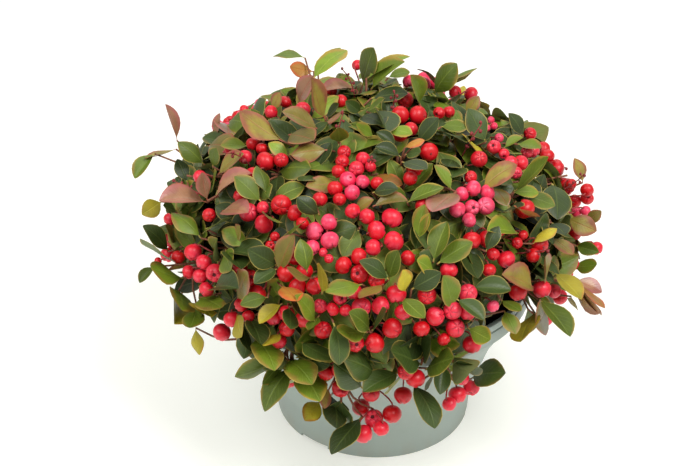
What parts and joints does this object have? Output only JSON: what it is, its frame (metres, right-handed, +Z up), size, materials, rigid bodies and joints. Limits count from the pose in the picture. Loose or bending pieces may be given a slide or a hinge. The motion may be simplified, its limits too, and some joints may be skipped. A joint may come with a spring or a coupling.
{
  "type": "potted shrub",
  "caption": "Low evergreen shrub with oval leaves and round red berries that spill over the rim of a round grey plastic pot with an upright collar.",
  "frame": {"origin": "middle of the pot's flat underside, on the surface that the plant stands on", "axes": "+Z up along the pot's axis, -Y towards the front that the picture shows, +X to the right"},
  "size_m": [0.3312, 0.3335, 0.2841],
  "materials": {
    "pot_plastic": "matte grey-green, finely grained",
    "compost": "moist, dark and crumbly",
    "bark": "rough brown bark",
    "foliage": "leathery, softly glossy green"
  },
  "bodies": {
    "root": {"pot": "pot_plastic", "compost": "compost", "short_stem": "bark", "bough_top": "bark", "bough_side_1": "bark", "bough_side_2": "bark", "bough_side_3": "bark", "bough_side_4": "bark", "bough_side_5": "bark", "bough_side_6": "bark", "bough_side_7": "bark", "bough_side_8": "bark", "leaves_top": "foliage", "leaves_side_1": "foliage", "leaves_side_2": "foliage", "leaves_side_3": "foliage", "leaves_side_4": "foliage", "leaves_side_5": "foliage", "leaves_side_6": "foliage", "leaves_side_7": "foliage", "leaves_side_8": "foliage"}
  },
  "joints": []
}
